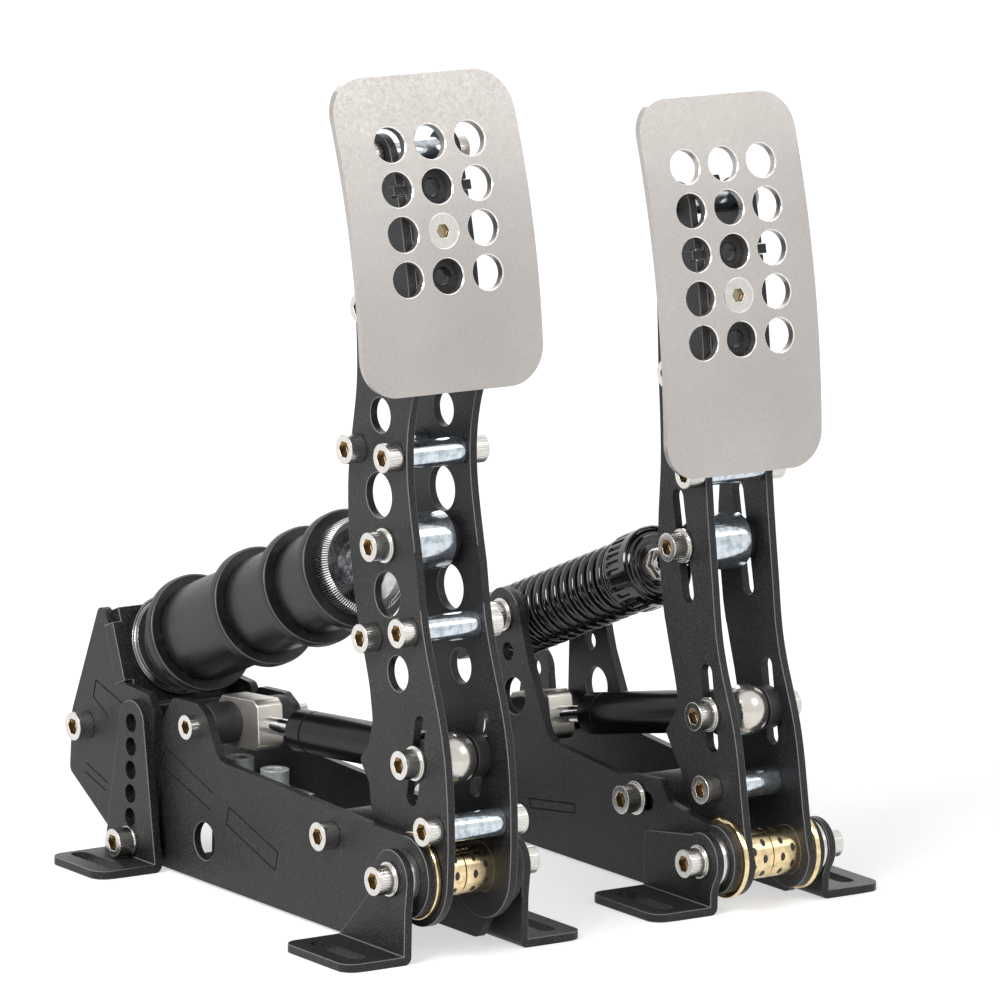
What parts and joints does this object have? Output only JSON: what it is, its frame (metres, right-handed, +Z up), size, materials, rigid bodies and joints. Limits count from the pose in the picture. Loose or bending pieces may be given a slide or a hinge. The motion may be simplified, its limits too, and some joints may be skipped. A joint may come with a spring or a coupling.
{
  "type": "sim racing pedal set",
  "caption": "Two free-standing sim racing pedals, a rubber-stack load-cell brake and a spring throttle, each with a damper on slotted steel feet.",
  "frame": {"origin": "centre of the footprint on the floor, midway between the two pedals", "axes": "+Z up, +X to the driver's right, +Y away from the driver's seat, the way a pedal is pressed"},
  "size_m": [0.227, 0.2232, 0.294],
  "materials": {
    "black_powder_coat": "fine textured satin powder coat",
    "bead_blasted_steel": "bead blasted, bright chamfered rims",
    "zinc_plate": "bluish bright zinc",
    "stainless_screws": "satin stainless",
    "bronze": "polished bronze with graphite plugs",
    "rubber": "matte black rubber",
    "black_anodised": "satin black anodised",
    "knurled_steel": "turned steel with a knurled rim",
    "chrome_rod": "hard chromed, polished",
    "nickel": "dull nickel",
    "damper_black": "smooth satin black",
    "black_gloss_wire": "glossy black",
    "black_plastic": "matte black spacer",
    "cell_aluminium": "clear anodised"
  },
  "bodies": {
    "base": {"brake_side_plate_left": "black_powder_coat", "brake_side_plate_right": "black_powder_coat", "brake_front_feet": "black_powder_coat", "brake_rear_feet": "black_powder_coat", "brake_rear_brackets": "black_powder_coat", "brake_load_plate": "black_powder_coat", "brake_load_cell": "cell_aluminium", "brake_cell_blocks": "black_powder_coat", "brake_frame_screws": "stainless_screws", "brake_disc_1": "black_anodised", "brake_thrust_rings": "knurled_steel", "throttle_side_plate_left": "black_powder_coat", "throttle_side_plate_right": "black_powder_coat", "throttle_front_feet": "black_powder_coat", "throttle_rear_feet": "black_powder_coat", "throttle_frame_screws": "stainless_screws", "floor_plates": "black_powder_coat", "pivot_pins": "chrome_rod", "cross_bars": "black_powder_coat", "damper_axles": "black_plastic"},
    "brake_arm": {"brake_arm_left": "black_powder_coat", "brake_arm_right": "black_powder_coat", "brake_arm_screws": "stainless_screws", "brake_arm_spacers": "black_plastic", "brake_cross_tubes": "zinc_plate", "brake_pivot_bushes": "bronze", "brake_plate_strip": "black_powder_coat", "brake_pedal_plate": "bead_blasted_steel"},
    "brake_rod": {"brake_barrel": "zinc_plate", "brake_push_rod": "chrome_rod", "brake_disc_4": "black_anodised", "brake_rubber_1": "rubber"},
    "brake_ring": {"brake_preload_ring": "knurled_steel"},
    "brake_disc_c": {"brake_disc_3": "black_anodised", "brake_rubber_2": "rubber"},
    "brake_disc_b": {"brake_disc_2": "black_anodised", "brake_rubber_3": "rubber"},
    "brake_damper_fork": {"brake_damper_block": "nickel", "brake_damper_rod": "chrome_rod"},
    "brake_damper": {"brake_damper_cylinder": "damper_black", "brake_damper_ball": "nickel"},
    "throttle_arm": {"throttle_arm_left": "black_powder_coat", "throttle_arm_right": "black_powder_coat", "throttle_arm_screws": "stainless_screws", "throttle_arm_spacers": "black_plastic", "throttle_cross_tubes": "zinc_plate", "throttle_pivot_bushes": "bronze", "throttle_plate_strip": "black_powder_coat", "throttle_pedal_plate": "bead_blasted_steel"},
    "throttle_rod_set": {"throttle_barrel": "zinc_plate", "throttle_rod": "chrome_rod", "throttle_rod_nut": "nickel", "throttle_spring_dome": "black_anodised"},
    "throttle_collar": {"throttle_spring_collar": "black_anodised"},
    "throttle_yoke": {"throttle_spring_yoke": "black_powder_coat", "throttle_spring": "black_gloss_wire"},
    "throttle_damper_fork": {"throttle_damper_block": "nickel", "throttle_damper_rod": "chrome_rod"},
    "throttle_damper": {"throttle_damper_cylinder": "damper_black", "throttle_damper_ball": "nickel"}
  },
  "joints": [
    {"name": "brake_pedal", "type": "hinge", "parent": "base", "child": "brake_arm", "pos_m": [-0.065, -0.094, 0.028], "axis": [-1, 0, 0], "range_deg": [0, 6], "stiffness_Nm_per_rad": 60, "springref_deg": -2.86},
    {"name": "brake_rod_swivel", "type": "hinge", "parent": "brake_arm", "child": "brake_rod", "pos_m": [-0.065, -0.072, 0.1367], "axis": [-1, 0, 0], "range_deg": [-5.58, 0]},
    {"name": "brake_preload", "type": "hinge", "parent": "brake_rod", "child": "brake_ring", "pos_m": [-0.065, -0.03694, 0.12204], "axis": [0, 0.9225, -0.3859], "continuous": true},
    {"name": "brake_disc_3_slide", "type": "slide", "parent": "brake_rod", "child": "brake_disc_c", "axis": [0, -0.9225, 0.3859], "range_m": [0, 0.0029], "deforming": ["brake_rubber_1"]},
    {"name": "brake_disc_2_slide", "type": "slide", "parent": "brake_rod", "child": "brake_disc_b", "axis": [0, -0.9225, 0.3859], "range_m": [0, 0.00667], "deforming": ["brake_rubber_2", "brake_rubber_3"]},
    {"name": "brake_damper_swivel", "type": "hinge", "parent": "base", "child": "brake_damper_fork", "pos_m": [-0.065, 0.0343, 0.055], "axis": [-1, 0, 0], "range_deg": [-0.5, 0.5]},
    {"name": "brake_damper_stroke", "type": "slide", "parent": "brake_damper_fork", "child": "brake_damper", "axis": [0, 0.9962, -0.0866], "range_m": [0, 0.00414]},
    {"name": "throttle_pedal", "type": "hinge", "parent": "base", "child": "throttle_arm", "pos_m": [0.065, -0.0916, 0.0178], "axis": [-1, 0, 0], "range_deg": [0, 13], "stiffness_Nm_per_rad": 12, "springref_deg": -11.46},
    {"name": "throttle_rod_swivel", "type": "hinge", "parent": "throttle_arm", "child": "throttle_rod_set", "pos_m": [0.065, -0.0627, 0.122], "axis": [-1, 0, 0], "range_deg": [-13.03, 0]},
    {"name": "throttle_collar_turn", "type": "hinge", "parent": "throttle_rod_set", "child": "throttle_collar", "pos_m": [0.065, -0.00643, 0.09846], "axis": [0, 0.9225, -0.3859], "continuous": true},
    {"name": "throttle_yoke_swivel", "type": "hinge", "parent": "base", "child": "throttle_yoke", "pos_m": [0.065, 0.03749, 0.08009], "axis": [-1, 0, 0], "range_deg": [-1, 1], "deforming": ["throttle_spring"]},
    {"name": "throttle_damper_swivel", "type": "hinge", "parent": "base", "child": "throttle_damper_fork", "pos_m": [0.065, 0.0441, 0.0405], "axis": [-1, 0, 0], "range_deg": [-1, 1]},
    {"name": "throttle_damper_stroke", "type": "slide", "parent": "throttle_damper_fork", "child": "throttle_damper", "axis": [0, 0.9796, -0.2008], "range_m": [0, 0.01156]}
  ],
  "couplings": [
    {"joint": "brake_rod_swivel", "follows": "brake_pedal", "ratio": -0.89414},
    {"joint": "brake_disc_3_slide", "follows": "brake_pedal", "m_per_rad": 0.026598},
    {"joint": "brake_disc_2_slide", "follows": "brake_pedal", "m_per_rad": 0.061237},
    {"joint": "brake_damper_swivel", "follows": "brake_pedal", "ratio": -0.001259},
    {"joint": "brake_damper_stroke", "follows": "brake_pedal", "m_per_rad": 0.038027},
    {"joint": "throttle_rod_swivel", "follows": "throttle_pedal", "ratio": -0.9636},
    {"joint": "throttle_yoke_swivel", "follows": "throttle_pedal", "ratio": 0.0364},
    {"joint": "throttle_damper_swivel", "follows": "throttle_pedal", "ratio": -0.051411},
    {"joint": "throttle_damper_stroke", "follows": "throttle_pedal", "m_per_rad": 0.049004}
  ]
}
